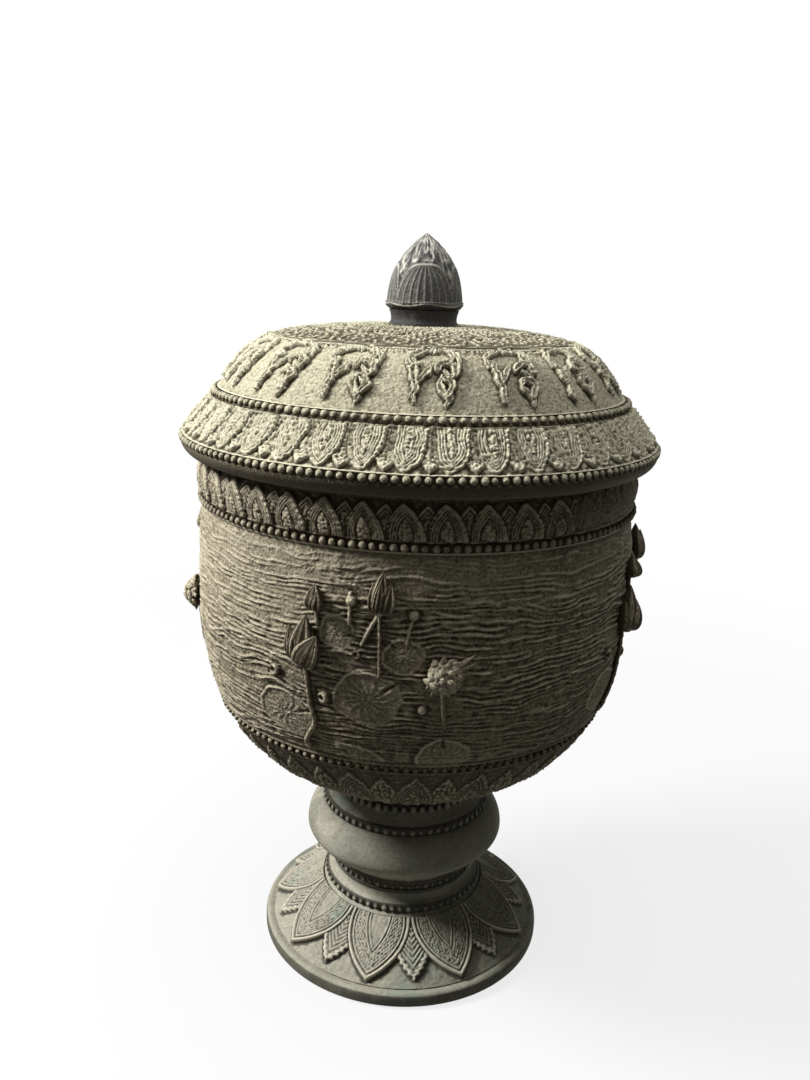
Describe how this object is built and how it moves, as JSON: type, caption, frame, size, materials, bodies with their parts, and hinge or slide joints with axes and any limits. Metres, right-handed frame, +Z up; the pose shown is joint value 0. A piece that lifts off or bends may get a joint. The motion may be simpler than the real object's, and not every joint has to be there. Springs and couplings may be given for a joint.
{
  "type": "incense burner",
  "caption": "Lidded bronze urn on a pedestal foot, with a lotus-bud finial, petal bands and lotus sprigs in relief, for burning incense in a lift-out ash liner.",
  "frame": {"origin": "centre of the foot's underside, on the surface that the burner stands on", "axes": "+Z up along the common axis of foot, stem, bowl, lid and finial; -Y faces the viewer of the picture"},
  "size_m": [0.2196, 0.2196, 0.3511],
  "materials": {
    "pale_bronze": "cast bronze, dry khaki patina with dark recesses",
    "brown_bronze": "cast bronze, grey-brown patina, rubbed pale on high relief",
    "green_bronze": "cast bronze, smooth olive grey-green patina",
    "dark_bronze": "cast bronze, near-black patina",
    "brass": "dull turned brass",
    "steel": "plain steel"
  },
  "bodies": {
    "base": {"foot": "green_bronze", "stem": "green_bronze", "bowl": "brown_bronze", "clamp_plate": "steel", "foot_washer": "steel", "foot_nut": "steel", "tie_rod": "steel", "bowl_nut": "brass", "front_large_bud": "brown_bronze", "front_small_bud": "brown_bronze", "front_tall_bud": "brown_bronze", "front_open_flower": "brown_bronze", "right_large_bud": "brown_bronze", "right_small_bud": "brown_bronze", "right_tall_bud": "brown_bronze", "right_open_flower": "brown_bronze", "back_large_bud": "brown_bronze", "back_small_bud": "brown_bronze", "back_tall_bud": "brown_bronze", "back_open_flower": "brown_bronze", "left_large_bud": "brown_bronze", "left_small_bud": "brown_bronze", "left_tall_bud": "brown_bronze", "left_open_flower": "brown_bronze"},
    "lid": {"lid": "pale_bronze", "finial_collar": "dark_bronze", "finial_bud": "dark_bronze", "finial_stud": "brass", "finial_washer": "brass", "finial_nut": "brass"},
    "ash_liner": {"ash_liner": "brass"}
  },
  "joints": [
    {"name": "lid_lift", "type": "slide", "parent": "base", "child": "lid", "axis": [0, 0, 1], "range_m": [0, 0.16]},
    {"name": "liner_lift", "type": "slide", "parent": "base", "child": "ash_liner", "axis": [0, 0, 1], "range_m": [0, 0.13]}
  ]
}
